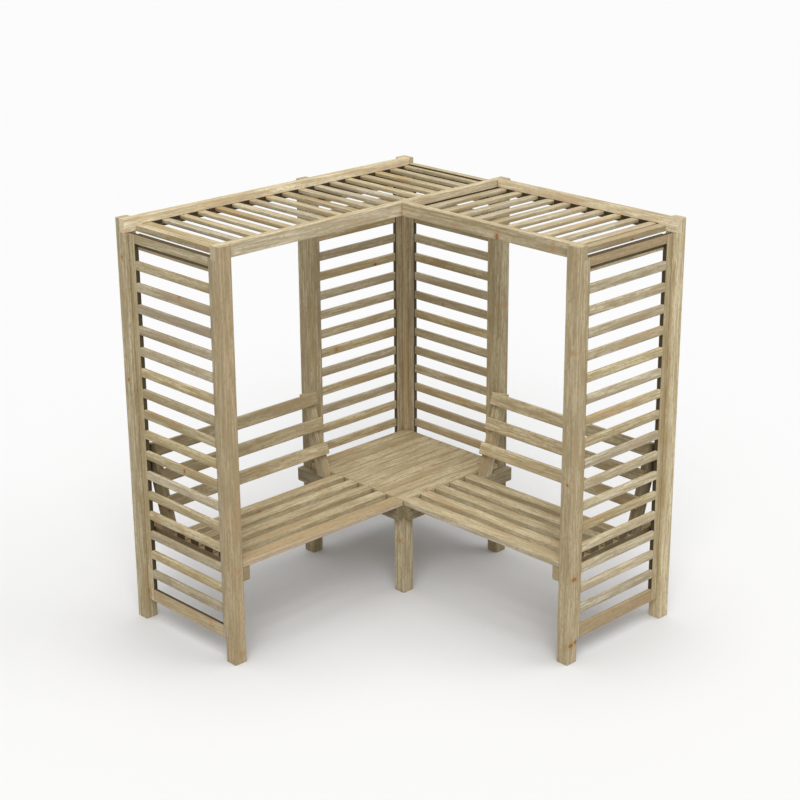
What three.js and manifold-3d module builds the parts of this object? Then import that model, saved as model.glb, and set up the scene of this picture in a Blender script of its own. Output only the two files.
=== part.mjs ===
// Corner arbour seat in pressure-treated softwood: an L-shaped bench under a slatted roof.
// Millimetres, +Z up. The origin is at ground level, in the middle of the square that the seat covers.
// The left wing runs along Y beside -X, the right wing runs along X beside +Y, and a square platform
// fills the corner between them. The open side faces +X and -Y.
// Every piece of a wing is drawn for the left wing. The right wing is its mirror image across the diagonal.
import * as THREE from 'three';
import { mergeVertices } from 'three/addons/utils/BufferGeometryUtils.js';
import Module from 'manifold-3d';

const wasm = await Module();
wasm.setup();

// Driving dimensions
const span = 1770; // over the outer faces of the end posts, the same along X and along Y
const height = 1935;
const wingDepth = 722; // from the outer faces of a wing's rear posts to its front faces
const seatTop = 490;

// Timber sections
const postSize = 63;
const timberThickness = 38; // beams and uprights are 38 x 63, bearers 38 x 68
const timberDepth = 63;
const bearerDepth = 68;
const slatWidth = 41; // wall and roof slats are 41 x 16
const slatThickness = 16;
const boardWidth = 60;
const boardThickness = 28;
const frontBoardWidth = 72;

// Joints and rounded edges
const hairline = 0.25; // each fitted piece stands this far inside its nominal box
const overrun = 5; // how far a cutting tool runs past the face that it opens
const timberRounding = 2.5;
const boardRounding = 5;
const slatRounding = 1.5;
const roundingSteps = 2; // facets across a rounded edge

// Wall panels
const panelSetback = 20; // behind the outer faces of the posts
const panelBottom = 98; // above the ground, for the two end panels
const stileDepth = 22;
const slatTongue = 12; // how far slats and rails are let into the stiles
const wallSlats = 16;
const topSlatGap = 79.6; // between the top slat and the highest slat of the pattern
const topRailDrop = 72; // from the top of a panel to the underside of the rail behind its top slat
const railLap = 1; // how far that rail is let into the back of the top slat

// Roof
const slatDrop = 36; // from the top of the beams down to the top of the slats
const roofSlatPitch = 100;
const roofJoint = 2; // at both ends of the left deck's row of slats
const rightDeckGap = 11; // between the right deck's end rail and its first slat
const battenWidth = 38;
const battenHeight = 25;
const housing = 2; // how far the slats are let into the battens
const endRailHeight = 28;
const crossRailThickness = 36;
const crossRailHeight = 35;

// Seat
const narrowBoards = 4; // behind the wide front board of each wing
const lastBoardGap = 33; // from the rearmost board to the foot of the backrest
const boardEndGap = 1; // between the ends of the boards and the platform
const platformBoards = 10;
const platformJoint = 2;
const notchClearance = 1.5; // round the posts that the platform is cut for
const bearerChamfer = 5; // on the lower corners of a bearer's ends

// Backrests
const backLean = 17; // degrees from upright
const backSetback = 213; // from the outer faces of the rear posts to the foot of the leaning front face
const uprightLength = 432; // along the leaning face
const backSlats = 3;
const backSlatPitch = 126; // along the leaning face

// Distances from the origin to the faces that pieces share
const outer = span / 2;
const inner = outer - postSize;
const front = outer - wingDepth;
const frontInner = front + postSize;
const panelOuter = outer - panelSetback;
const panelInner = panelOuter - stileDepth;
const backFoot = outer - backSetback;
const roofEnd = outer - crossRailThickness - roofJoint;

// Heights that pieces share
const beamBottom = height - timberDepth;
const roofTop = height - slatDrop;
const seatUnderside = seatTop - boardThickness;
const bearerBottom = seatUnderside - bearerDepth;

// Wood tones
const postColor = 0xb0a37c;
const beamColor = 0xc6b58a;
const slatColor = 0xbfae84;
const boardColor = 0xd0c094;
const backColor = 0xa8996f;

// A bare copy of a geometry, with the vertices that its triangles share merged
function welded(geometry) {
  const bare = geometry.clone();
  bare.deleteAttribute('normal');
  bare.deleteAttribute('uv');
  return mergeVertices(bare);
}

function solidOf(geometry) {
  const { attributes, index } = welded(geometry);
  return new wasm.Manifold(new wasm.Mesh({
    numProp: 3,
    vertProperties: Float32Array.from(attributes.position.array),
    triVerts: Uint32Array.from(index.array),
  }));
}

function geometryOf(solid) {
  const { vertProperties, triVerts, numProp } = solid.getMesh();
  const geometry = new THREE.BufferGeometry();
  geometry.setAttribute('position', new THREE.BufferAttribute(Float32Array.from(vertProperties), numProp));
  geometry.setIndex(new THREE.BufferAttribute(Uint32Array.from(triVerts), 1));
  return geometry;
}

function joined(geometries) {
  const [first, ...others] = geometries.map(solidOf);
  return geometryOf(others.reduce((body, other) => body.add(other), first));
}

function cut(geometry, tools) {
  return geometryOf(tools.map(solidOf).reduce((body, tool) => body.subtract(tool), solidOf(geometry)));
}

// The mirror image across the diagonal: X becomes -Y, Y becomes -X, and each triangle is turned over
const acrossDiagonal = new THREE.Matrix4().makeBasis(
  new THREE.Vector3(0, -1, 0),
  new THREE.Vector3(-1, 0, 0),
  new THREE.Vector3(0, 0, 1),
);

function mirrored(geometry) {
  const image = welded(geometry).applyMatrix4(acrossDiagonal);
  image.setIndex(Array.from(image.index.array).reverse());
  return image;
}

// What differs between the wings: the right wing's roof stops against the left wing's front beam
const wings = [
  {
    side: 'left',
    shape: (geometry) => geometry,
    beamEnd: inner + timberThickness,
    battenEnd: Math.min(panelInner, roofEnd),
    deckStart: -inner + slatWidth + roofJoint,
    deckEnd: roofEnd,
    foot: new THREE.Vector3(-backFoot, 0, seatUnderside),
    leanAxis: 'y',
  },
  {
    side: 'right',
    shape: mirrored,
    beamEnd: frontInner - timberThickness,
    battenEnd: frontInner - timberThickness,
    deckStart: -inner + slatWidth + rightDeckGap,
    deckEnd: frontInner - timberThickness,
    foot: new THREE.Vector3(0, backFoot, seatUnderside),
    leanAxis: 'x',
  },
];

// The two directions in which an outline is drawn on the face square to each axis
const outlineAxes = { x: ['y', 'z'], y: ['z', 'x'], z: ['x', 'y'] };
const unit = {
  x: new THREE.Vector3(1, 0, 0),
  y: new THREE.Vector3(0, 1, 0),
  z: new THREE.Vector3(0, 0, 1),
};

// An outline extruded from low to high along an axis, with the edges of both its faces rounded
function extruded(outline, axis, [low, high], rounding) {
  const geometry = new THREE.ExtrudeGeometry(new THREE.Shape(outline), {
    depth: high - low - 2 * rounding,
    bevelThickness: rounding,
    bevelSize: rounding,
    bevelOffset: -rounding,
    bevelSegments: roundingSteps,
  });
  geometry.translate(0, 0, low + rounding);
  const [across, up] = outlineAxes[axis];
  return geometry.applyMatrix4(new THREE.Matrix4().makeBasis(unit[across], unit[up], unit[axis]));
}

// A straight timber that fills a box, with the long edges of its two faces square to the axis rounded
function timber(box, axis, rounding) {
  const [across, up] = outlineAxes[axis];
  const [left, right] = box[across];
  const [bottom, top] = box[up];
  const outline = [
    new THREE.Vector2(left, bottom),
    new THREE.Vector2(right, bottom),
    new THREE.Vector2(right, top),
    new THREE.Vector2(left, top),
  ];
  return extruded(outline, axis, box[axis], rounding);
}

// A plain block, for cutting
function block({ x, y, z }) {
  const geometry = new THREE.BoxGeometry(x[1] - x[0], y[1] - y[0], z[1] - z[0]);
  return geometry.translate((x[0] + x[1]) / 2, (y[0] + y[1]) / 2, (z[0] + z[1]) / 2);
}

const widened = ([low, high], by) => [low - by, high + by];
const eased = (range) => widened(range, -hairline);
const fitted = ({ x, y, z }) => ({ x: eased(x), y: eased(y), z: eased(z) });

// Names a piece, gives it its own material and places it by the middle of its box
function place(group, name, shape, color) {
  const geometry = shape.clone();
  geometry.computeBoundingBox();
  const middle = geometry.boundingBox.getCenter(new THREE.Vector3());
  geometry.translate(-middle.x, -middle.y, -middle.z);
  geometry.computeVertexNormals();
  const material = new THREE.MeshStandardMaterial({ color, roughness: 0.85, metalness: 0, flatShading: true });
  const piece = new THREE.Mesh(geometry, material);
  piece.name = name;
  piece.position.copy(middle);
  group.add(piece);
}

function placeInBothWings(group, name, geometry, color) {
  for (const { side, shape } of wings) {
    place(group, `${side}_${name}`, shape(geometry), color);
  }
}

const frame = new THREE.Group();
const roof = new THREE.Group();
const walls = new THREE.Group();
const seat = new THREE.Group();
const backrests = new THREE.Group();

// Posts
// Each carries its beams in a rebate at the top, cut from the side that faces into the wing, so the beams
// end up level with the post tops and the outer part of the post stands up beside them.
const rearPostX = [-outer, -inner];
const frontPostX = [-frontInner, -front];
const endPostY = [-outer, -inner];
const midPostY = [front, frontInner];
const cornerPostY = [inner, outer];
const rearBeamX = [-inner - timberThickness, -inner];
const frontBeamX = [-frontInner, -frontInner + timberThickness];
const rebateZ = [beamBottom, height + overrun];
const rearRebateX = [rearBeamX[0], -inner + overrun];
const frontRebateX = [-frontInner - overrun, frontBeamX[1]];

function post(x, y, top, rebates) {
  const body = timber({ x, y, z: [0, top] }, 'y', timberRounding);
  return rebates.length > 0 ? cut(body, rebates.map(block)) : body;
}

const endRearRebate = { x: rearRebateX, y: widened(endPostY, overrun), z: rebateZ };
const endFrontRebate = { x: frontRebateX, y: widened(endPostY, overrun), z: rebateZ };
const midRebate = { x: rearRebateX, y: widened(midPostY, overrun), z: rebateZ };
const cornerRebate = { x: rearRebateX, y: [inner - overrun, inner + timberThickness], z: rebateZ };
placeInBothWings(frame, 'rear_post', post(rearPostX, endPostY, height, [endRearRebate]), postColor);
placeInBothWings(frame, 'front_post', post(frontPostX, endPostY, height, [endFrontRebate]), postColor);
placeInBothWings(frame, 'mid_post', post(rearPostX, midPostY, height, [midRebate]), postColor);
place(frame, 'corner_post', post(rearPostX, cornerPostY, height, [cornerRebate]), postColor);
place(frame, 'centre_leg', post(frontPostX, midPostY, seatUnderside, []), postColor);

// Roof beams
for (const { side, shape, beamEnd } of wings) {
  for (const [row, x] of [['rear', rearBeamX], ['front', frontBeamX]]) {
    const box = { x, y: [-outer, beamEnd], z: [beamBottom, height] };
    place(roof, `${side}_${row}_beam`, shape(timber(fitted(box), 'x', timberRounding)), beamColor);
  }
}

const crossRail = {
  x: [-inner, -frontInner],
  y: [outer - crossRailThickness, outer],
  z: [beamBottom, beamBottom + crossRailHeight],
};
place(roof, 'corner_top_rail', timber(fitted(crossRail), 'y', timberRounding), beamColor);

// Roof decks
// Slats across the wing, housed in a batten along each beam. The row starts behind an end rail. It ends at the
// cross rail on the left, with a slat ripped narrower to fit, and at the left wing's front beam on the right.
const deckBottom = roofTop - slatThickness;
const narrowestSlat = slatWidth / 2;

function roofDeck({ battenEnd, deckStart, deckEnd }) {
  const [rear, fore] = eased([-inner, -frontInner]);
  const battenY = eased([-inner + slatWidth, battenEnd]);
  const battenZ = [deckBottom + housing - battenHeight, deckBottom + housing];
  const pieces = [
    { x: [rear, rear + battenWidth], y: battenY, z: battenZ },
    { x: [fore - battenWidth, fore], y: battenY, z: battenZ },
  ];
  for (let slatStart = deckStart; slatStart + narrowestSlat < deckEnd; slatStart += roofSlatPitch) {
    const slatEnd = Math.min(slatStart + slatWidth, deckEnd);
    pieces.push({ x: [rear, fore], y: [slatStart, slatEnd], z: [deckBottom, roofTop] });
  }
  return joined(pieces.map((box) => timber(box, 'z', slatRounding)));
}

for (const wing of wings) {
  place(roof, `${wing.side}_roof_deck`, wing.shape(roofDeck(wing)), slatColor);
}

const endRail = {
  x: [-inner, -frontInner],
  y: [-inner, -inner + slatWidth],
  z: [roofTop - endRailHeight, roofTop],
};
placeInBothWings(roof, 'roof_end_rail', timber(fitted(endRail), 'z', slatRounding), beamColor);

// Wall panels
// Two stiles with a bottom rail, a top slat with a rail behind it, and a row of slats let in between them.
// The rows lie at the same heights in every panel: one that starts at the seat only lacks the lowest ones.
const topSlatBottom = beamBottom - slatWidth;
const wallStart = panelBottom + timberDepth;
const wallPitch = (topSlatBottom - topSlatGap - wallStart) / wallSlats;
const wallRows = Array.from({ length: wallSlats }, (_, row) => wallStart + (row + 1) * wallPitch - slatWidth);

function wallPanel(bottom) {
  const [left, right] = eased([-inner, -frontInner]);
  const slatX = widened([left + slatWidth, right - slatWidth], slatTongue);
  const slatBack = -panelOuter + slatThickness;
  const slatY = [-panelOuter, slatBack];
  const stileY = [-panelOuter, -panelInner];
  const railBottom = beamBottom - topRailDrop;
  const pieces = [
    { x: [left, left + slatWidth], y: stileY, z: [bottom, beamBottom] },
    { x: [right - slatWidth, right], y: stileY, z: [bottom, beamBottom] },
    { x: slatX, y: slatY, z: [bottom, bottom + timberDepth] },
    { x: slatX, y: slatY, z: [topSlatBottom, beamBottom] },
    { x: slatX, y: [slatBack - railLap, slatBack + slatThickness], z: [railBottom, railBottom + slatWidth] },
  ];
  for (const row of wallRows.filter((slatBottom) => slatBottom > bottom + timberDepth)) {
    pieces.push({ x: slatX, y: slatY, z: [row, row + slatWidth] });
  }
  return joined(pieces.map((box) => timber(box, 'y', slatRounding)));
}

placeInBothWings(walls, 'end_panel', wallPanel(panelBottom), slatColor);
placeInBothWings(walls, 'corner_panel', wallPanel(bearerBottom).rotateZ(-Math.PI / 2), slatColor);

// Bearers
// A wing's bearers run past its posts from the rear faces to the front faces, with their lower end corners
// cut off. Two square ones between the posts carry the platform.
function bearer(y) {
  const [back, fore] = eased([-outer, -front]);
  const [bottom, top] = eased([bearerBottom, seatUnderside]);
  const outline = [
    new THREE.Vector2(top, back),
    new THREE.Vector2(top, fore),
    new THREE.Vector2(bottom + bearerChamfer, fore),
    new THREE.Vector2(bottom, fore - bearerChamfer),
    new THREE.Vector2(bottom, back + bearerChamfer),
    new THREE.Vector2(bottom + bearerChamfer, back),
  ];
  return extruded(outline, 'y', eased(y), timberRounding);
}

const endSupportY = [-inner, -inner + timberThickness];
const innerSupportY = [front - timberThickness, front];
placeInBothWings(seat, 'end_bearer', bearer(endSupportY), beamColor);
placeInBothWings(seat, 'inner_bearer', bearer(innerSupportY), beamColor);

const bearerZ = [bearerBottom, seatUnderside];
const platformFront = { x: [-inner, -frontInner], y: [front, front + timberThickness], z: bearerZ };
const platformRear = { x: [-panelInner, -front], y: [inner - timberThickness, inner], z: bearerZ };
place(seat, 'platform_front_bearer', timber(fitted(platformFront), 'y', timberRounding), beamColor);
place(seat, 'platform_rear_bearer', timber(fitted(platformRear), 'y', timberRounding), beamColor);

// Seat boards
// A wide board at the front, then narrow ones spaced evenly as far as the backrest.
const boardZ = [seatUnderside, seatTop];
const boardY = [-inner, front - boardEndGap];
const narrowSpace = backFoot - lastBoardGap - front - frontBoardWidth;
const boardPitch = narrowSpace / narrowBoards;
placeInBothWings(
  seat,
  'seat_board_1',
  timber(fitted({ x: [-front - frontBoardWidth, -front], y: boardY, z: boardZ }), 'z', boardRounding),
  boardColor,
);
for (let board = 1; board <= narrowBoards; board += 1) {
  const rear = -front - frontBoardWidth - board * boardPitch;
  const box = fitted({ x: [rear, rear + boardWidth], y: boardY, z: boardZ });
  placeInBothWings(seat, `seat_board_${board + 1}`, timber(box, 'z', boardRounding), boardColor);
}

// Corner platform
// Close boards from the front of the left wing back to its wall panel, notched round three posts.
const platformPitch = (panelInner - front - frontBoardWidth) / (platformBoards - 1);
const notches = [
  [rearPostX, midPostY],
  [rearPostX, cornerPostY],
  [frontPostX, cornerPostY],
].map(([x, y]) => {
  return block({ x: widened(x, notchClearance), y: widened(y, notchClearance), z: widened(boardZ, overrun) });
});

for (let board = 0; board < platformBoards; board += 1) {
  const rear = -front - frontBoardWidth - board * platformPitch;
  const width = board === 0 ? frontBoardWidth : platformPitch - platformJoint;
  const box = fitted({ x: [rear, rear + width], y: [front, panelInner], z: boardZ });
  place(seat, `platform_board_${board + 1}`, cut(timber(box, 'z', timberRounding), notches), boardColor);
}

// Backrests
// Two uprights lean back on the wing's bearers beside the posts, and three slats lie across their front faces.
const lean = THREE.MathUtils.degToRad(backLean);

function upright(y) {
  const foot = new THREE.Vector2(seatUnderside, -backFoot);
  const top = new THREE.Vector2(Math.cos(lean), -Math.sin(lean)).multiplyScalar(uprightLength).add(foot);
  const topBack = new THREE.Vector2(-Math.sin(lean), -Math.cos(lean)).multiplyScalar(timberDepth).add(top);
  const footBack = new THREE.Vector2(seatUnderside, -backFoot - timberDepth / Math.cos(lean));
  return extruded([foot, top, topBack, footBack], 'y', eased(y), timberRounding);
}

placeInBothWings(backrests, 'outer_upright', upright(endSupportY), beamColor);
placeInBothWings(backrests, 'inner_upright', upright(innerSupportY), beamColor);

for (const { side, shape, foot, leanAxis } of wings) {
  const leaning = new THREE.Group();
  leaning.position.copy(foot);
  leaning.rotation[leanAxis] = -lean;
  backrests.add(leaning);
  for (let slat = 0; slat < backSlats; slat += 1) {
    const top = uprightLength - slat * backSlatPitch;
    const slatBox = {
      x: [hairline, hairline + boardThickness],
      y: eased([-inner, front]),
      z: [top - boardWidth, top],
    };
    place(leaning, `${side}_back_slat_${slat + 1}`, shape(timber(slatBox, 'x', boardRounding)), backColor);
  }
}

const arbour = new THREE.Group();
arbour.add(frame, roof, walls, seat, backrests);

export default arbour;
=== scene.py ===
"""Corner arbour seat in pressure-treated softwood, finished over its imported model."""

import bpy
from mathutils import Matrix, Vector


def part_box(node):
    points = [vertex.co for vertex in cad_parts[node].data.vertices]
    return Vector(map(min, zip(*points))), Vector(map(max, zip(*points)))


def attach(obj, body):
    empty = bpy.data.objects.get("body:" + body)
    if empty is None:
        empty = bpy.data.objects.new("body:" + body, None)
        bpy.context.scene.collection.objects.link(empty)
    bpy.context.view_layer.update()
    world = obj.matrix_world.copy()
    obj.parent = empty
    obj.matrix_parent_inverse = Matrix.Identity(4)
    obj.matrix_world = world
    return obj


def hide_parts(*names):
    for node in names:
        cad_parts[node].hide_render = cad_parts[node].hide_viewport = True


bl_info = {
    "name": "Corner arbour seat",
    "version": (1, 0, 0),
    "blender": (4, 5, 0),
    "location": "View3D > Sidebar > Arbour",
    "description": "Finishes the timbers of a corner arbour seat and sets its studio",
    "category": "Add Mesh",
}

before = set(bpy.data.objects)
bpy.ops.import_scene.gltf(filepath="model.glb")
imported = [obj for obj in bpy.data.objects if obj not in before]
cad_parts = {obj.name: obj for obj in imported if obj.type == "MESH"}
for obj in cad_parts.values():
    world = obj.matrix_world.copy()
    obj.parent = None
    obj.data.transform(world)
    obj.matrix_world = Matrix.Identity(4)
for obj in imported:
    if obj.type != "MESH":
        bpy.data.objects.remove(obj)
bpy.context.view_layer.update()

from math import pi, radians
from random import Random

import bmesh
import bpy
from bpy.props import FloatProperty, FloatVectorProperty, PointerProperty
from mathutils import Vector

SIDES = ("left", "right")
AXES = "XYZ"

# Directions that faces look in
UP = (0, 0, 1)
ALL_ROUND_AND_UP = ((1, 0, 0), (-1, 0, 0), (0, 1, 0), (0, -1, 0), UP)

# Sizes that aren't settings, in metres
BACK_RAIL_HEIGHT = 0.072  # of the rail behind a wall panel's top slat
SLAT_END_GAP = 0.0004  # between a wall slat and the stiles
BATTEN_GAP = 0.0002  # between a batten and the slats on it
LEFT_ROW_START = 0.0017  # from the outer end of the left deck to its first slat
RIGHT_ROW_START = 0.0107
BACK_LEAN = radians(17)  # of the backrests, from upright


# Colours


def linear(hex_value):
    """Turns an sRGB hex value such as "C9B98F" into a linear colour."""
    shares = [int(hex_value[i : i + 2], 16) / 255 for i in (0, 2, 4)]
    return tuple(s / 12.92 if s <= 0.04045 else ((s + 0.055) / 1.055) ** 2.4 for s in shares)


def mixed(first, second, share):
    return tuple(a + (b - a) * share for a, b in zip(first, second))


# Settings that a user would change


class WoodSettings(bpy.types.PropertyGroup):
    pale: FloatVectorProperty(
        name="Pale wood",
        description="Early wood of the dry, treated boards",
        subtype="COLOR", size=3, min=0, max=1, default=linear("DED2B1"),
    )
    green: FloatVectorProperty(
        name="Treated wood",
        description="Where the preservative has left a green cast",
        subtype="COLOR", size=3, min=0, max=1, default=linear("C0B392"),
    )
    late: FloatVectorProperty(
        name="Late wood",
        description="The dark side of each growth ring",
        subtype="COLOR", size=3, min=0, max=1, default=linear("A8946E"),
    )
    heart: FloatVectorProperty(
        name="Heartwood",
        description="Warm streaks where a timber holds heartwood or resin",
        subtype="COLOR", size=3, min=0, max=1, default=linear("BE9062"),
    )
    knot: FloatVectorProperty(
        name="Knot",
        description="The hard brown core of a knot",
        subtype="COLOR", size=3, min=0, max=1, default=linear("8A5F30"),
    )
    # Painted shade, nearly black, for crevices, slots and shaded faces, and the dark stain of the
    # platform's joints
    stain_and_painted_shade: FloatVectorProperty(
        name="Stain",
        description="Rough sawn edges and crevices, where the preservative has dried nearly black",
        subtype="COLOR", size=3, min=0, max=1, default=linear("453923"),
    )
    end_grain: FloatVectorProperty(
        name="End grain",
        description="Sawn ends, which soak up more preservative",
        subtype="COLOR", size=3, min=0, max=1, default=linear("B5A37E"),
    )
    ring_width: FloatProperty(
        name="Ring width",
        description="Spacing of the growth rings, three times as coarse as in real pine so that they show",
        subtype="DISTANCE", unit="LENGTH", default=0.011,
    )
    knot_spacing: FloatProperty(
        name="Knot spacing",
        description="Distance along a timber between possible knots",
        subtype="DISTANCE", unit="LENGTH", default=0.30,
    )


class SlatSettings(bpy.types.PropertyGroup):
    width: FloatProperty(
        name="Width", description="Width of wall and roof slats", unit="LENGTH", default=0.041
    )
    thickness: FloatProperty(
        name="Thickness", description="Thickness of wall and roof slats", unit="LENGTH", default=0.016
    )
    stile_depth: FloatProperty(
        name="Stile depth", description="Depth of the wall panels' stiles", unit="LENGTH", default=0.022
    )
    rounding: FloatProperty(
        name="Rounding", description="Radius of the slats' long edges", unit="LENGTH", default=0.002
    )
    board_rounding: FloatProperty(
        name="Board rounding", description="Radius of the seat boards' edges", unit="LENGTH", default=0.003
    )
    rail_height: FloatProperty(
        name="Rail height",
        description="Height of the wall panels' bottom rails",
        unit="LENGTH", default=0.063,
    )
    wall_pitch: FloatProperty(
        name="Wall pitch", description="Spacing of the wall slats", unit="LENGTH", default=0.0994
    )
    wall_gap: FloatProperty(
        name="Gap below the top slat",
        description="Clear height between the top slat and the next",
        unit="LENGTH", default=0.0796,
    )
    roof_pitch: FloatProperty(
        name="Roof pitch", description="Spacing of the roof slats", unit="LENGTH", default=0.1
    )
    batten_width: FloatProperty(
        name="Batten width",
        description="Width of the battens that the roof slats lie on",
        unit="LENGTH", default=0.012,
    )


class StudioSettings(bpy.types.PropertyGroup):
    camera_at: FloatVectorProperty(
        name="Camera", description="Where the camera stands", subtype="TRANSLATION", unit="LENGTH",
        default=(5.6410, -5.4490, 3.9390),
    )
    camera_looks: FloatVectorProperty(
        name="View direction", description="Which way the camera looks", subtype="DIRECTION",
        default=(-0.66437, 0.66437, -0.34226),
    )
    lens: FloatProperty(
        name="Lens", description="Focal length in millimetres on a 36 mm sensor", default=82.75
    )
    shift: FloatProperty(
        name="Shift", description="Sideways shift of the frame", default=-0.03967
    )
    sky: FloatProperty(
        name="Soft light", description="Strength of the even light all round", default=0.40
    )
    top_lamp: FloatProperty(
        name="Top lamp", description="Strength of the large lamp straight above", default=1.04
    )
    front_lamp: FloatProperty(
        name="Front lamp", description="Strength of the large lamp above the open corner", default=1.44
    )
    side_lamp: FloatProperty(
        name="Side lamp", description="Strength of the large lamp above the right end", default=0.43
    )


class ArbourSettings(bpy.types.PropertyGroup):
    wood: PointerProperty(type=WoodSettings)
    slats: PointerProperty(type=SlatSettings)
    studio: PointerProperty(type=StudioSettings)


# Nodes


def add(tree, kind, inputs=None, **settings):
    """Adds a node with its settings, and gives each named input a value or a link."""
    node = tree.nodes.new(kind)
    for key, value in settings.items():
        setattr(node, key, value)
    for key, value in (inputs or {}).items():
        if isinstance(value, bpy.types.NodeSocket):
            tree.links.new(value, node.inputs[key])
        else:
            node.inputs[key].default_value = value
    return node


def reckoned(tree, operation, *values):
    """A calculation with numbers."""
    return add(tree, "ShaderNodeMath", dict(enumerate(values)), operation=operation).outputs[0]


def vector(tree, operation, *values):
    """A calculation with vectors that gives a vector."""
    return add(tree, "ShaderNodeVectorMath", dict(enumerate(values)), operation=operation).outputs[0]


def measure(tree, operation, *values):
    """A calculation with vectors that gives a number."""
    return add(tree, "ShaderNodeVectorMath", dict(enumerate(values)), operation=operation).outputs["Value"]


def ranged(tree, value, start, end, at_start=0.0, at_end=1.0, curve="LINEAR"):
    """Turns a value between start and end into one between at_start and at_end."""
    return add(
        tree, "ShaderNodeMapRange",
        {"Value": value, "From Min": start, "From Max": end, "To Min": at_start, "To Max": at_end},
        interpolation_type=curve,
    ).outputs[0]


def blended(tree, share, first, second):
    """The first colour with a share of the second one."""
    return add(tree, "ShaderNodeMix", {0: share, 6: first, 7: second}, data_type="RGBA").outputs[2]


def noise(tree, place, blotches, detail, roughness=0.5):
    """Noise with so many blotches to the metre on each axis of a place."""
    scaled = vector(tree, "MULTIPLY", place, blotches)
    return add(
        tree, "ShaderNodeTexNoise",
        {"Vector": scaled, "Scale": 1.0, "Detail": detail, "Roughness": roughness},
    ).outputs[0]


def open_share(tree, distance, samples):
    """How open a point is: 1 where nothing is within the distance, and less in crevices."""
    return add(
        tree, "ShaderNodeAmbientOcclusion", {"Distance": distance}, samples=samples
    ).outputs["AO"]


def within(tree, place, low, high, reach, share, blur):
    """0 outside a box that is grown by reach all round, and share from blur inward of its surface."""
    middle = [(a + b) / 2 for a, b in zip(low, high)]
    half = [(b - a) / 2 + reach for a, b in zip(low, high)]
    off = vector(tree, "ABSOLUTE", vector(tree, "SUBTRACT", place, middle))
    parts = add(tree, "ShaderNodeSeparateXYZ", {0: vector(tree, "SUBTRACT", off, half)}).outputs
    farthest = reckoned(tree, "MAXIMUM", parts[0], parts[1])
    farthest = reckoned(tree, "MAXIMUM", farthest, parts[2])
    return ranged(tree, farthest, -blur, 0.0, share, 0.0)


# Softwood

# Which object axes run along, across and through a timber with its grain on each axis
GRAIN_ORDER = {"X": "XYZ", "Y": "YZX", "Z": "ZXY"}

# How warm (1 and more) or grey-green (down to -1) single timbers are, and how light: partly their own tone
# and partly painted light and shade, darker where a timber stands in shade and lighter where more light
# falls on it.
# For some also how light their upright faces are painted, as light falls on them, which are then less
# yellow too
TONES_AND_PAINTED_LIGHT = {
    "left_front_post": (0.85, 1.02), "right_front_post": (0.5, 1.05), "right_rear_post": (-0.1, 1.30),
    "corner_post": (-0.9, 1.16), "left_outer_upright": (0.6, 0.62), "right_outer_upright": (0.4, 0.58),
    "left_end_bearer": (1.2, 0.80), "left_inner_bearer": (0.3, 0.60), "right_inner_bearer": (0.3, 0.65),
    "left_seat_board_1": (1.2, 0.97, 1.25), "left_seat_board_3": (0.5, 0.96),
    "right_seat_board_1": (0.2, 1.09, 1.13), "right_seat_board_2": (0.15, 1.11),
    "left_rear_beam": (0.1, 1.19, 1.62), "right_rear_beam": (0.15, 0.98, 1.65),
    "left_front_beam": (0.15, 1.15, 1.24), "right_front_beam": (0.25, 1.02),
    "left_back_slat_1": (0.3, 0.88), "left_back_slat_2": (0.3, 0.90), "left_back_slat_3": (0.1, 1.0),
    "right_back_slat_1": (-0.1, 1.09), "right_back_slat_2": (-0.1, 1.11), "right_back_slat_3": (-0.2, 1.22),
    "left_end_panel_bottom_rail": (0.6, 1.12), "right_end_panel_bottom_rail": (1.2, 0.95),
    "right_end_panel_top_slat": (1.2, 0.95), "right_end_panel_slats": (0, 1.12),
}

# The other timbers take a tone and a lightness between these
OTHER_TONES = (-0.5, 0.3)
OTHER_LIGHTNESS = (0.96, 1.04)

# The slats of one row differ in lightness and saturation, and lie this far apart in the pattern
SLAT_LIGHTNESS = (0.90, 1.12)
SLAT_SATURATION = (0.82, 1.12)
SLAT_SHIFT = (61, 37, 43)

# Blotches to the metre along, across and through a timber. Fibres 11 mm wide and 160 mm long, and specks of
# torn fibre 8 mm wide and 25 mm long, are coarser than real ones so that they show.
FIBRES = (6, 90, 90)
TORN_FIBRES = (40, 125, 125)
PATCHES = (2.4, 17, 17)
RING_SWAY = (1.5, 6, 6)

# Across and through a timber, the cell that holds at most one knot, and the largest knot's radius
KNOT_CELL = (0.10, 0.07)
KNOT_RADIUS = 0.0095

# How near something has to be for painted crevice shade to show, and how wide the edge of a sharp darkening
# is, painted shade and joint stain alike
CREVICE_REACH = 0.035
SHARP = 0.0001


def tinted(wood, tone, chance):
    """The pale and the green wood of one timber: greener for a tone below 0 and warmer for one above."""
    if tone < 0:
        pale = mixed(wood.pale, wood.green, -tone * 0.6)
    else:
        pale = mixed(wood.pale, wood.heart, tone * 0.5)
    return pale, mixed(wood.green, pale, min(chance.uniform(0, 0.35) + max(tone, 0) * 0.5, 1))


def knots(tree, place, spacing):
    """The cores and the halos of knots. A third of the cells hold none."""
    cell = (spacing, *KNOT_CELL)
    grid = vector(tree, "DIVIDE", place, cell)
    found = add(tree, "ShaderNodeTexVoronoi", {"Vector": grid, "Scale": 1.0, "Randomness": 0.9}).outputs
    off = vector(tree, "SUBTRACT", grid, found["Position"])
    # Longer through the timber than across it
    away = measure(tree, "LENGTH", vector(tree, "MULTIPLY", off, (cell[0], cell[1], cell[2] * 0.6)))
    pick = add(tree, "ShaderNodeSeparateColor", {0: found["Color"]}).outputs[1]
    spread = reckoned(tree, "DIVIDE", away, ranged(tree, pick, 0.32, 0.80, 0.0001, KNOT_RADIUS))
    core = ranged(tree, spread, 0.7, 1.15, 1.0, 0.0, "SMOOTHSTEP")
    halo = ranged(tree, spread, 0.9, 3.2, 1.0, 0.0, "SMOOTHSTEP")
    return core, halo


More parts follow.
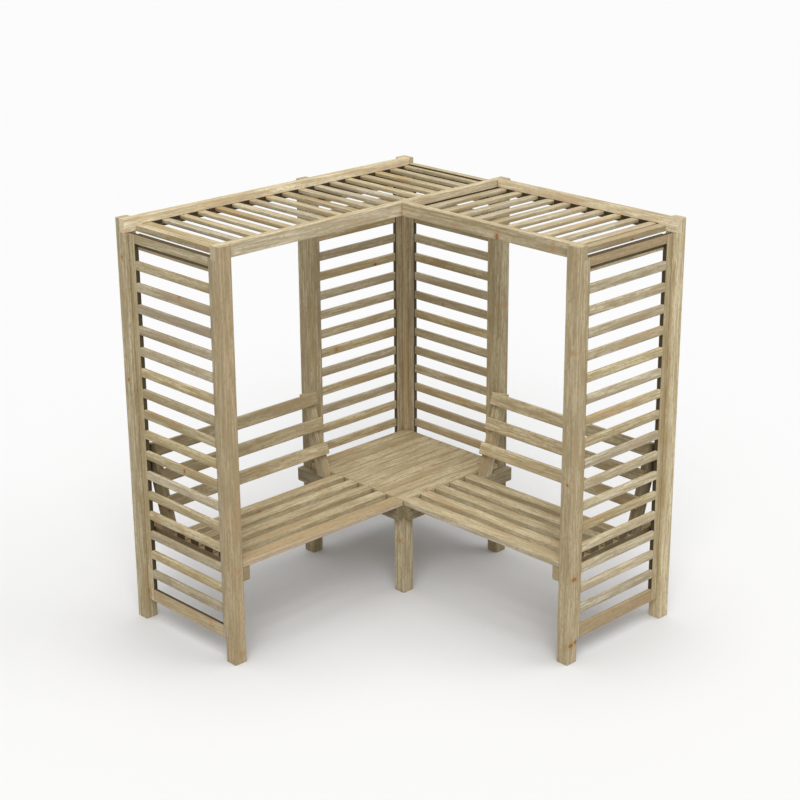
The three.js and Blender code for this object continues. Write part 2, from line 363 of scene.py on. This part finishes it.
def late_wood(tree, place, halo, ring_width, chance):
    """The dark side of growth rings, whose planes lean through the timber, sway along it and bend round
    the knots."""
    sway = noise(tree, place, RING_SWAY, 2.0)
    slope = (0, chance.uniform(0.3, 0.7), chance.uniform(0.7, 1.0))
    depth = measure(tree, "DOT_PRODUCT", place, slope)
    depth = reckoned(tree, "MULTIPLY_ADD", sway, 0.06, depth)
    depth = reckoned(tree, "MULTIPLY_ADD", halo, 0.007, depth)
    ring = reckoned(tree, "FRACT", reckoned(tree, "DIVIDE", depth, ring_width))
    return reckoned(tree, "POWER", ring, 2.5)


def painted_shade_and_joint_share(tree, place, facing, painted_shade_faces, beside):
    """How dark the painted shade is: in crevices, on faces that look in the shaded directions, less where a
    direction is shorter than 1, and beside the given boxes, which at the platform's joints is a dark joint
    stain."""
    # Painted shade in crevices, where little is open round a point
    openness = open_share(tree, CREVICE_REACH, 6)
    shares = [ranged(tree, openness, 0.10, 0.52, 0.7, 0.0, "SMOOTHSTEP")]
    # Painted shade on faces that look in the shaded directions
    for direction in map(Vector, painted_shade_faces):
        turned = measure(tree, "DOT_PRODUCT", facing, direction.normalized())
        shares.append(ranged(tree, turned, 0.45, 0.85, 0.0, 0.95 * direction.length))
    # Painted shade beside the given boxes, and the dark stain of the platform's joints
    shares += [within(tree, place, *box) for box in beside]
    most, *others = shares
    for share in others:
        most = reckoned(tree, "MAXIMUM", most, share)
    return most


def treated_softwood(name, grain, seed, lean=None, by_slat=False, painted_shade_faces=(), beside=()):
    """Pressure-treated softwood, planed and left bare: matt, with soft growth rings, fine fibres, small
    brown knots that the grain bends round, a green cast in patches, warm heartwood streaks and darker
    sawn ends. Painted shade, nearly black, darkens crevices, faces that look in the given shaded
    directions and places beside a given box; at the platform's joints the same darkening is a dark
    joint stain. A timber's lightness holds painted light and shade too, and for some its upright faces
    are painted lighter. Each timber takes its own part of the pattern, from the seed or from its own
    attribute, and a lean turns the pattern with the timber."""
    wood = bpy.context.scene.arbour.wood
    chance = Random(seed)
    tone, light, *upright = TONES_AND_PAINTED_LIGHT.get(name) or (
        chance.uniform(*OTHER_TONES), chance.uniform(*OTHER_LIGHTNESS)
    )
    pale, green = tinted(wood, tone, chance)
    saturation = 1.0
    material = bpy.data.materials.new(f"treated_softwood_{name}")
    material.use_nodes = True
    tree = material.node_tree
    tree.nodes.clear()

    # Place along, across and through the timber, in metres
    coordinates = add(tree, "ShaderNodeTexCoord").outputs
    place, facing = coordinates["Object"], coordinates["Normal"]
    if lean:
        place = add(tree, "ShaderNodeMapping", {"Vector": place, "Rotation": lean}).outputs[0]
        facing = add(tree, "ShaderNodeMapping", {"Vector": facing, "Rotation": lean}).outputs[0]
    parts = add(tree, "ShaderNodeSeparateXYZ", {0: place}).outputs
    order = GRAIN_ORDER[grain]
    line = add(tree, "ShaderNodeCombineXYZ", {i: parts[axis] for i, axis in enumerate(order)}).outputs[0]
    spot = vector(tree, "ADD", line, [chance.uniform(1, 9) for _ in range(3)])
    if by_slat:
        own = add(tree, "ShaderNodeAttribute", attribute_name="slat").outputs["Vector"]
        spot = vector(tree, "MULTIPLY_ADD", own, SLAT_SHIFT, spot)
        own = add(tree, "ShaderNodeSeparateXYZ", {0: own}).outputs
        light = ranged(tree, own[0], 0.0, 1.0, *(share * light for share in SLAT_LIGHTNESS))
        saturation = ranged(tree, own[1], 0.0, 1.0, *SLAT_SATURATION)

    core, halo = knots(tree, spot, wood.knot_spacing)
    late = late_wood(tree, spot, halo, wood.ring_width, chance)
    fibre = noise(tree, spot, FIBRES, 3.0, 0.65)
    speck = noise(tree, spot, TORN_FIBRES, 1.0)
    patch = noise(tree, spot, PATCHES, 2.0)

    # Faces that look along the timber show end grain, and upright ones can have painted light that makes
    # them lighter and less yellow than the top
    facing_parts = add(tree, "ShaderNodeSeparateXYZ", {0: facing}).outputs
    along = reckoned(tree, "ABSOLUTE", facing_parts[order[0]])
    if upright:
        level = reckoned(tree, "ABSOLUTE", facing_parts["Z"])
        light = ranged(tree, level, 0.3, 0.7, upright[0], light)
        saturation = ranged(tree, level, 0.3, 0.7, 0.85)

    # Heartwood, late wood, fibres, torn fibres, knots and sawn ends, over patches of pale and green wood
    color = blended(tree, ranged(tree, patch, 0.38, 0.62), (*pale, 1), (*green, 1))
    for share, tint in (
        (ranged(tree, patch, 0.56, 0.68, 0.0, 0.5, "SMOOTHSTEP"), wood.heart),
        (reckoned(tree, "MULTIPLY", late, 0.5), wood.late),
        (ranged(tree, fibre, 0.42, 0.60, 0.0, 0.95), mixed(wood.late, wood.green, 0.25)),
        (ranged(tree, speck, 0.48, 0.78, 0.0, 0.8), wood.late),
        (reckoned(tree, "MULTIPLY", halo, 0.55), wood.heart),
        (reckoned(tree, "MULTIPLY", core, 0.75), wood.knot),
        (ranged(tree, along, 0.75, 0.95, 0.0, 0.5), wood.end_grain),
    ):
        color = blended(tree, share, color, (*tint, 1))
    color = add(
        tree, "ShaderNodeHueSaturation", {"Color": color, "Value": light, "Saturation": saturation}
    ).outputs[0]
    # Painted shade, and the dark stain of the platform's joints, blended towards the stain colour
    stain_and_painted_shade = painted_shade_and_joint_share(tree, coordinates["Object"], facing, painted_shade_faces, beside)
    color = blended(tree, stain_and_painted_shade, color, (*wood.stain_and_painted_shade, 1))

    relief = reckoned(tree, "MULTIPLY_ADD", late, 0.5, fibre)
    bump = add(tree, "ShaderNodeBump", {"Height": relief, "Strength": 0.3, "Distance": 0.0008}).outputs[0]
    shader = add(
        tree, "ShaderNodeBsdfPrincipled",
        {
            "Base Color": color, "Roughness": ranged(tree, fibre, 0.3, 0.7, 0.68, 0.9), "Normal": bump,
            "Specular IOR Level": 0.3,
        },
    ).outputs[0]
    add(tree, "ShaderNodeOutputMaterial", {"Surface": shader})
    return material


def seed_of(name):
    return sum(map(ord, name))


def finish_nodes(grain_of, leans=None, painted_shade_faces=None, beside=None, reach=0.0, share=1.0, blur=SHARP):
    """Gives each named CAD timber its own softwood, with the grain along it. The timber is darkened by
    share where it comes within reach of the nodes that it lies beside, with an edge as wide as blur:
    painted shade, and at the platform's joints a dark joint stain."""
    for name, grain in grain_of.items():
        wood = treated_softwood(
            name, grain, seed_of(name) * 7, lean=(leans or {}).get(name),
            painted_shade_faces=(painted_shade_faces or {}).get(name, ()),
            beside=[(*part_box(other), reach, share, blur) for other in (beside or {}).get(name, ())],
        )
        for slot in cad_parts[name].material_slots:
            slot.material = wood


# Making pieces


def corners(ranges):
    """The low and the high corner of a box, from its two ends on each axis."""
    return tuple(zip(*(sorted(ranges[axis]) for axis in range(3))))


def closed_bars(name, bars, rounding, materials):
    """One mesh of closed bars with rounded edges. Each bar is (low corner, high corner, material index)."""
    mesh = bpy.data.meshes.new(name)
    work = bmesh.new()
    own = work.verts.layers.float_vector.new("slat")
    chance = Random(name)
    for low, high, finish in bars:
        before = set(work.faces)
        verts = bmesh.ops.create_cube(work, size=1.0)["verts"]
        low, high = Vector(low), Vector(high)
        for vert in verts:
            vert.co = Vector(((low[i] + high[i]) / 2 + vert.co[i] * (high[i] - low[i]) for i in range(3)))
        edges = list({edge for vert in verts for edge in vert.link_edges})
        bmesh.ops.bevel(work, geom=edges, offset=rounding, segments=2, profile=0.5, affect="EDGES")
        share = chance.random()
        for face in set(work.faces) - before:
            face.material_index = finish
            for vert in face.verts:
                vert[own] = (share, share, share)
    work.to_mesh(mesh)
    work.free()
    for material in materials:
        mesh.materials.append(material)
    piece = bpy.data.objects.new(name, mesh)
    bpy.context.scene.collection.objects.link(piece)
    return piece


def slat_row_tree():
    """Rounded slats of one size in a straight row, each with its own value in the attribute "slat"."""
    tree = bpy.data.node_groups.get("slat_row")
    if tree:
        return tree
    tree = bpy.data.node_groups.new("slat_row", "GeometryNodeTree")
    for label, kind in (
        ("Length", "NodeSocketFloat"), ("Width", "NodeSocketFloat"), ("Thickness", "NodeSocketFloat"),
        ("Rounding", "NodeSocketFloat"), ("Count", "NodeSocketInt"), ("First", "NodeSocketVector"),
        ("Step", "NodeSocketVector"), ("Turn", "NodeSocketVector"), ("Seed", "NodeSocketInt"),
        ("Wood", "NodeSocketMaterial"),
    ):
        tree.interface.new_socket(name=label, in_out="INPUT", socket_type=kind)
    tree.interface.new_socket(name="Slats", in_out="OUTPUT", socket_type="NodeSocketGeometry")
    given = add(tree, "NodeGroupInput").outputs
    half = reckoned(tree, "MULTIPLY", given["Length"], 0.5)
    start = add(tree, "ShaderNodeCombineXYZ", {0: reckoned(tree, "MULTIPLY", half, -1.0)}).outputs[0]
    end = add(tree, "ShaderNodeCombineXYZ", {0: half}).outputs[0]
    spine = add(tree, "GeometryNodeCurvePrimitiveLine", {"Start": start, "End": end}).outputs[0]
    section = add(
        tree, "GeometryNodeCurvePrimitiveQuadrilateral",
        {"Width": given["Width"], "Height": given["Thickness"]}, mode="RECTANGLE",
    ).outputs[0]
    section = add(
        tree, "GeometryNodeFilletCurve",
        {"Curve": section, "Count": 2, "Radius": given["Rounding"]}, mode="POLY",
    ).outputs[0]
    slat = add(
        tree, "GeometryNodeCurveToMesh", {"Curve": spine, "Profile Curve": section, "Fill Caps": True}
    ).outputs[0]
    row = add(
        tree, "GeometryNodeMeshLine",
        {"Count": given["Count"], "Start Location": given["First"], "Offset": given["Step"]},
    ).outputs[0]
    turn = add(tree, "FunctionNodeEulerToRotation", {0: given["Turn"]}).outputs[0]
    laid = add(
        tree, "GeometryNodeInstanceOnPoints", {"Points": row, "Instance": slat, "Rotation": turn}
    ).outputs[0]
    own = add(
        tree, "FunctionNodeRandomValue", {0: (0, 0, 0), 1: (1, 1, 1), "Seed": given["Seed"]},
        data_type="FLOAT_VECTOR",
    ).outputs[0]
    named = add(
        tree, "GeometryNodeStoreNamedAttribute", {"Geometry": laid, "Name": "slat", "Value": own},
        data_type="FLOAT_VECTOR", domain="INSTANCE",
    ).outputs[0]
    real = add(tree, "GeometryNodeRealizeInstances", {0: named}).outputs[0]
    dressed = add(
        tree, "GeometryNodeSetMaterial", {"Geometry": real, "Material": given["Wood"]}
    ).outputs[0]
    add(tree, "NodeGroupOutput", {0: dressed})
    return tree


def from_tree(name, tree, values):
    """Runs a geometry tree and keeps the result as a plain mesh."""
    holder = bpy.data.objects.new(f"{name}_source", bpy.data.meshes.new(name))
    bpy.context.scene.collection.objects.link(holder)
    modifier = holder.modifiers.new("Make", "NODES")
    modifier.node_group = tree
    for item in tree.interface.items_tree:
        if item.item_type == "SOCKET" and item.in_out == "INPUT" and item.name in values:
            modifier[item.identifier] = values[item.name]
    holder.update_tag()
    graph = bpy.context.evaluated_depsgraph_get()
    mesh = bpy.data.meshes.new_from_object(holder.evaluated_get(graph), depsgraph=graph)
    mesh.name = name
    bpy.data.objects.remove(holder)
    piece = bpy.data.objects.new(name, mesh)
    bpy.context.scene.collection.objects.link(piece)
    return piece


def slat_row(name, length, width, count, first, step, turn, seed, wood):
    """A straight row of slats, from the middle of the first one by steps."""
    size = bpy.context.scene.arbour.slats
    return from_tree(
        name, slat_row_tree(),
        {
            "Length": length, "Width": width, "Thickness": size.thickness, "Rounding": size.rounding,
            "Count": count, "First": first, "Step": step, "Turn": turn, "Seed": seed, "Wood": wood,
        },
    )


def seat_piece(piece, node):
    """Puts a piece on the one body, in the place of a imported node."""
    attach(piece, "root")
    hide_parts(node)


# Wall panels

# The painted shade on the rail behind a top slat, where the slat's shadow falls: how far it reaches round
# the slat, its share and its blur
TOP_SLAT_SHADE = (0.018, 0.8, SHARP)


class Wall:
    """Where a wall panel lies: its node, the axis that it runs along, and the axis and the side (-1 or 1)
    that its outer face is on."""

    def __init__(self, node, run, face, side):
        low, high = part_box(node)
        end_gap = bpy.context.scene.arbour.slats.width + SLAT_END_GAP
        self.node, self.run, self.face, self.side = node, run, face, side
        self.outer = high[face] if side > 0 else low[face]
        self.start, self.end = low[run], high[run]
        self.bottom, self.top = low[2], high[2]
        self.inside = (self.start + end_gap, self.end - end_gap)

    def bar(self, reach, depths, heights):
        """The corners of a bar, from its reach along the panel, its depths behind the outer face and its
        heights."""
        return corners(
            {self.run: reach, self.face: [self.outer - self.side * depth for depth in depths], 2: heights}
        )


def wall_frame(wall):
    """The stiles, the top slat with the rail behind it, and the bottom rail."""
    size = bpy.context.scene.arbour.slats
    front = (0, size.thickness)
    behind = (size.thickness, 2 * size.thickness)
    stile = ((0, size.stile_depth), (wall.bottom, wall.top))
    top_slat = wall.bar(wall.inside, front, (wall.top - size.width, wall.top))
    bars = [
        (*wall.bar((wall.start, wall.start + size.width), *stile), 0),
        (*wall.bar((wall.end - size.width, wall.end), *stile), 0),
        (*top_slat, 1),
        (*wall.bar(wall.inside, behind, (wall.top - BACK_RAIL_HEIGHT, wall.top)), 2),
        (*wall.bar(wall.inside, front, (wall.bottom, wall.bottom + size.rail_height)), 3),
    ]
    node, level, seed = wall.node, AXES[wall.run], seed_of(wall.node)
    along = Vector([axis == wall.run for axis in range(3)])
    round_top_slat = (*top_slat, *TOP_SLAT_SHADE)
    # Painted shade, nearly black, on the stiles' sides and tops, on the tops of the top slat, the back rail
    # and the left end panel's bottom rail, and on the back rail round the top slat
    materials = [
        treated_softwood(f"{node}_stiles", "Z", seed, by_slat=True, painted_shade_faces=(along, -along, UP)),
        treated_softwood(f"{node}_top_slat", level, seed + 1, painted_shade_faces=(UP,)),
        treated_softwood(f"{node}_back_rail", level, seed + 2, painted_shade_faces=(UP,), beside=(round_top_slat,)),
        treated_softwood(
            f"{node}_bottom_rail", level, seed + 3, painted_shade_faces=(UP,) if node == "left_end_panel" else ()
        ),
    ]
    return closed_bars(f"{node}_frame", bars, size.rounding, materials)


def wall_slats(wall):
    """The slats between the stiles, from below the top slat down to the bottom rail."""
    size = bpy.context.scene.arbour.slats
    node, level = wall.node, AXES[wall.run]
    highest = wall.top - size.width - size.wall_gap - size.width / 2
    room = highest - size.width / 2 - wall.bottom - size.rail_height
    first = [0, 0, highest]
    first[wall.run] = (wall.start + wall.end) / 2
    first[wall.face] = wall.outer - wall.side * size.thickness / 2
    return slat_row(
        f"{node}_slats", length=wall.inside[1] - wall.inside[0], width=size.width,
        count=int(room / size.wall_pitch) + 1, first=first, step=(0, 0, -size.wall_pitch),
        turn=(pi / 2, 0, pi / 2 * wall.run), seed=len(node),
        wood=treated_softwood(f"{node}_slats", level, seed_of(node) + 4, by_slat=True),
    )


# Roof decks


def deck_battens(node, run, row):
    """Battens under both ends of the slats, down to the underside of the beams. The slats run along one
    axis, and their row along the other."""
    size = bpy.context.scene.arbour.slats
    low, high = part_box(node)
    heights = (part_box("left_rear_beam")[0][2], high[2] - size.thickness - BATTEN_GAP)
    bars = [
        (*corners({run: (near, near + size.batten_width), row: (low[row], high[row]), 2: heights}), 0)
        for near in (low[run], high[run] - size.batten_width)
    ]
    # The battens are painted nearly black all round and on top, as shade between the roof slats
    wood = treated_softwood(
        f"{node}_battens", AXES[row], seed_of(node), by_slat=True, painted_shade_faces=ALL_ROUND_AND_UP
    )
    return closed_bars(f"{node}_battens", bars, size.rounding, (wood,))


def deck_slats(node, run, row, way, gap):
    """The slats, way along the row's axis (-1 or 1) from a gap to the end of the deck, with a narrower last
    one where half a slat or more fits in."""
    size = bpy.context.scene.arbour.slats
    low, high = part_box(node)
    start, end = (low[row], high[row]) if way > 0 else (high[row], low[row])
    start += way * gap
    reach = abs(end - start)
    # A slat that fits but for rounding errors counts
    count = int((reach - size.width) / size.roof_pitch + 0.001) + 1
    rows = [(start, size.width, count)]
    rest = reach - count * size.roof_pitch
    if rest > size.width / 2:
        rows.append((start + way * count * size.roof_pitch, rest, 1))
    wood = treated_softwood(f"{node}_slats", AXES[run], seed_of(node) + 1, by_slat=True)
    pieces = []
    for part, (row_start, width, many) in enumerate(rows):
        first, step = [0, 0, high[2] - size.thickness / 2], [0, 0, 0]
        first[run] = (low[run] + high[run]) / 2
        first[row] = row_start + way * width / 2
        step[row] = way * size.roof_pitch
        pieces.append(
            slat_row(
                f"{node}_slats_{part + 1}", length=high[run] - low[run], width=width, count=many,
                first=first, step=step, turn=(0, 0, pi / 2 * run), seed=3 + row + part, wood=wood,
            )
        )
    return pieces


# Studio

WHITE = (1, 1, 1, 1)
FLOOR_REACH = 90.0
FLOOR_SHADOW_REACH = 0.9

# The floor's paper in the open, in its painted shadow near the arbour, and where it only throws light back
OPEN_PAPER = (0.845, 0.845, 0.845, 1)
SHADED_PAPER = (0.64, 0.64, 0.65, 1)
DULL_PAPER = (0.42, 0.42, 0.42, 1)

# Which way the lamps stand from the arbour, how far, and how wide they look from it
LAMPS = {"top_lamp": (0, 0, 1), "front_lamp": (0.5, -0.5, 0.7), "side_lamp": (0.5, 0.5, 0.7)}
LAMP_DISTANCE = 5.0
LAMP_WIDTH = radians(35)

# The camera's sensor, in millimetres, and how far it sees, in metres
SENSOR_WIDTH = 36.0
SIGHT = 200.0


def seen_share(tree):
    """1 for what the camera sees, also mirrored or through glass, and 0 where it only gives light."""
    path = add(tree, "ShaderNodeLightPath").outputs
    seen = reckoned(tree, "MAXIMUM", path["Is Camera Ray"], path["Is Glossy Ray"])
    return reckoned(tree, "MAXIMUM", seen, path["Is Transmission Ray"])


def lay_floor(scene):
    """A pale floor: white to the camera, with painted shadow near the arbour, and duller in the light from
    it.
    """
    material = bpy.data.materials.new("studio_paper")
    material.use_nodes = True
    tree = material.node_tree
    tree.nodes.clear()
    seen = seen_share(tree)
    dull = add(tree, "ShaderNodeBsdfDiffuse", {"Color": DULL_PAPER}).outputs[0]
    # Painted shadow: darker where the arbour is near
    tint = blended(tree, open_share(tree, FLOOR_SHADOW_REACH, 8), SHADED_PAPER, OPEN_PAPER)
    white = add(tree, "ShaderNodeBsdfDiffuse", {"Color": tint}).outputs[0]
    shown = add(tree, "ShaderNodeMixShader", {0: seen, 1: dull, 2: white}).outputs[0]
    add(tree, "ShaderNodeOutputMaterial", {"Surface": shown})

    mesh = bpy.data.meshes.new("floor")
    plan = [(x * FLOOR_REACH, y * FLOOR_REACH, 0) for x, y in ((-1, -1), (1, -1), (1, 1), (-1, 1))]
    mesh.from_pydata(plan, [], [(0, 1, 2, 3)])
    mesh.materials.append(material)
    floor = bpy.data.objects.new("floor", mesh)
    scene.collection.objects.link(floor)


def light_sky(scene, strength):
    """Even light all round, with white behind for the camera."""
    world = scene.world or bpy.data.worlds.new("studio")
    scene.world = world
    world.use_nodes = True
    tree = world.node_tree
    tree.nodes.clear()
    seen = seen_share(tree)
    soft = add(tree, "ShaderNodeBackground", {"Color": WHITE, "Strength": strength}).outputs[0]
    white = add(tree, "ShaderNodeBackground", {"Color": WHITE, "Strength": 1.0}).outputs[0]
    shown = add(tree, "ShaderNodeMixShader", {0: seen, 1: soft, 2: white}).outputs[0]
    add(tree, "ShaderNodeOutputWorld", {"Surface": shown})


def hang_lamp(scene, name, strength, stands):
    """A large soft lamp that stands in a direction from the arbour."""
    light = bpy.data.lights.new(name, "SUN")
    light.energy = strength
    light.angle = LAMP_WIDTH
    lamp = bpy.data.objects.new(name, light)
    lamp.rotation_mode = "QUATERNION"
    lamp.rotation_quaternion = Vector(stands).to_track_quat("Z", "Y")
    lamp.location = Vector(stands) * LAMP_DISTANCE
    scene.collection.objects.link(lamp)


def set_camera(scene, studio):
    lens = bpy.data.cameras.new("camera")
    lens.lens = studio.lens
    lens.sensor_width = SENSOR_WIDTH
    lens.shift_x = studio.shift
    lens.clip_end = SIGHT
    camera = bpy.data.objects.new("camera", lens)
    camera.location = studio.camera_at
    camera.rotation_mode = "QUATERNION"
    camera.rotation_quaternion = Vector(studio.camera_looks).to_track_quat("-Z", "Y")
    scene.collection.objects.link(camera)
    scene.camera = camera


# Operators


class ARBOUR_OT_stage(bpy.types.Operator):
    """Set the floor, the lights and the camera"""

    bl_idname = "arbour.stage"
    bl_label = "Studio"

    def execute(self, context):
        scene = context.scene
        studio = scene.arbour.studio
        scene.view_settings.view_transform = "Standard"
        lay_floor(scene)
        light_sky(scene, studio.sky)
        for name, stands in LAMPS.items():
            hang_lamp(scene, name, getattr(studio, name), stands)
        set_camera(scene, studio)
        return {"FINISHED"}


class ARBOUR_OT_posts(bpy.types.Operator):
    """Finish the square posts and the centre leg"""

    bl_idname = "arbour.posts"
    bl_label = "Posts"

    def execute(self, context):
        names = [f"{side}_{row}_post" for side in SIDES for row in ("rear", "front")]
        finish_nodes(dict.fromkeys(names + ["corner_post", "centre_leg"], "Z"))
        # The mid posts get painted shade where they stand behind and below the seat
        shaded = {f"{side}_mid_post": (f"{side}_inner_bearer",) for side in SIDES}
        finish_nodes(dict.fromkeys(shaded, "Z"), beside=shaded, reach=0.5, share=0.3, blur=0.3)
        return {"FINISHED"}


class ARBOUR_OT_beams(bpy.types.Operator):
    """Finish the roof beams, the end rails and the cross rail"""

    bl_idname = "arbour.beams"
    bl_label = "Beams"

    def execute(self, context):
        beams = {
            "left_rear_beam": "Y", "left_front_beam": "Y", "right_rear_beam": "X", "right_front_beam": "X",
        }
        # Painted shade, nearly black, where the decks lie against them
        decks = ("left_roof_deck", "right_roof_deck")
        finish_nodes(beams, beside=dict.fromkeys(beams, decks), reach=0.0015)
        # The cross rail's front face gets painted shade, nearly black
        finish_nodes(
            {"left_roof_end_rail": "X", "right_roof_end_rail": "Y", "corner_top_rail": "X"},
            painted_shade_faces={"corner_top_rail": ((0, -1, 0),)},
        )
        return {"FINISHED"}


class ARBOUR_OT_walls(bpy.types.Operator):
    """Build the slatted wall panels"""

    bl_idname = "arbour.walls"
    bl_label = "Wall panels"

    def execute(self, context):
        for wall in (
            Wall("left_end_panel", 0, 1, -1), Wall("right_end_panel", 1, 0, 1),
            Wall("left_corner_panel", 1, 0, -1), Wall("right_corner_panel", 0, 1, 1),
        ):
            seat_piece(wall_frame(wall), wall.node)
            seat_piece(wall_slats(wall), wall.node)
        return {"FINISHED"}


class ARBOUR_OT_roof(bpy.types.Operator):
    """Build the slatted roof decks"""

    bl_idname = "arbour.roof"
    bl_label = "Roof decks"

    def execute(self, context):
        for node, run, row, way, gap in (
            ("left_roof_deck", 0, 1, 1, LEFT_ROW_START), ("right_roof_deck", 1, 0, -1, RIGHT_ROW_START),
        ):
            seat_piece(deck_battens(node, run, row), node)
            for slats in deck_slats(node, run, row, way, gap):
                seat_piece(slats, node)
        return {"FINISHED"}


class ARBOUR_OT_seat(bpy.types.Operator):
    """Finish the bearers and the corner platform, and build the seat boards with tighter edges"""

    bl_idname = "arbour.seat"
    bl_label = "Seat"

    def execute(self, context):
        grain = {"platform_front_bearer": "X", "platform_rear_bearer": "X"}
        # The end bearers' outer faces and the outer ends of the boards get painted shade
        painted_shade_faces = {"left_end_bearer": ((0, -0.4, 0),), "right_end_bearer": ((0.5, 0, 0),)}
        seat = []
        for side, across, lengthwise, end in (
            ("left", "X", "Y", (0, -1, 0)), ("right", "Y", "X", (0.7, 0, 0)),
        ):
            grain.update({f"{side}_{place}_bearer": across for place in ("end", "inner")})
            boards = [f"{side}_seat_board_{i + 1}" for i in range(5)]
            grain.update(dict.fromkeys(boards, lengthwise))
            painted_shade_faces.update(dict.fromkeys(boards, (end,)))
            seat += boards
        finish_nodes(grain, painted_shade_faces=painted_shade_faces)
        # Tighter edges, so that no floor shows through between the boards
        rounding = context.scene.arbour.slats.board_rounding
        for name in seat:
            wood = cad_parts[name].material_slots[0].material
            board = closed_bars(f"{name}_eased", [(*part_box(name), 0)], rounding, (wood,))
            seat_piece(board, name)
        # The platform's boards are stained along their joints
        platform = [f"platform_board_{i + 1}" for i in range(10)]
        neighbours = {
            board: platform[max(i - 1, 0) : i] + platform[i + 1 : i + 2] for i, board in enumerate(platform)
        }
        finish_nodes(dict.fromkeys(platform, "Y"), beside=neighbours, reach=0.003, share=0.6)
        return {"FINISHED"}


class ARBOUR_OT_backrests(bpy.types.Operator):
    """Finish the leaning uprights and the slats across them"""

    bl_idname = "arbour.backrests"
    bl_label = "Backrests"

    def execute(self, context):
        turns = {"left": (0, BACK_LEAN, 0), "right": (BACK_LEAN, 0, 0)}
        uprights = {f"{side}_{end}_upright": turns[side] for side in SIDES for end in ("outer", "inner")}
        finish_nodes(dict.fromkeys(uprights, "Z"), leans=uprights)
        for side, lengthwise in (("left", "Y"), ("right", "X")):
            slats = [f"{side}_back_slat_{i + 1}" for i in range(3)]
            panels = dict.fromkeys(slats, (f"{side}_end_panel",))
            # The slats get painted shadow towards the end wall
            finish_nodes(dict.fromkeys(slats, lengthwise), beside=panels, reach=0.55, share=0.35, blur=0.5)
        return {"FINISHED"}


OPERATORS = (
    ARBOUR_OT_stage, ARBOUR_OT_posts, ARBOUR_OT_beams, ARBOUR_OT_walls, ARBOUR_OT_roof,
    ARBOUR_OT_seat, ARBOUR_OT_backrests,
)


class ARBOUR_PT_build(bpy.types.Panel):
    """Lists the steps that build the arbour"""

    bl_idname = "ARBOUR_PT_build"
    bl_label = "Arbour"
    bl_space_type = "VIEW_3D"
    bl_region_type = "UI"
    bl_category = "Arbour"

    def draw(self, context):
        for step in OPERATORS:
            self.layout.operator(step.bl_idname)
        settings = context.scene.arbour
        for group in (settings.wood, settings.slats, settings.studio):
            box = self.layout.box()
            for key in group.__annotations__:
                box.prop(group, key)


CLASSES = (WoodSettings, SlatSettings, StudioSettings, ArbourSettings, *OPERATORS, ARBOUR_PT_build)


def register():
    for made in CLASSES:
        bpy.utils.register_class(made)
    bpy.types.Scene.arbour = PointerProperty(type=ArbourSettings)


def unregister():
    del bpy.types.Scene.arbour
    for made in reversed(CLASSES):
        bpy.utils.unregister_class(made)


def main():
    register()
    for step in OPERATORS:
        group, name = step.bl_idname.split(".")
        getattr(getattr(bpy.ops, group), name)()
    bpy.context.view_layer.update()


if __name__ == "__main__":
    main()
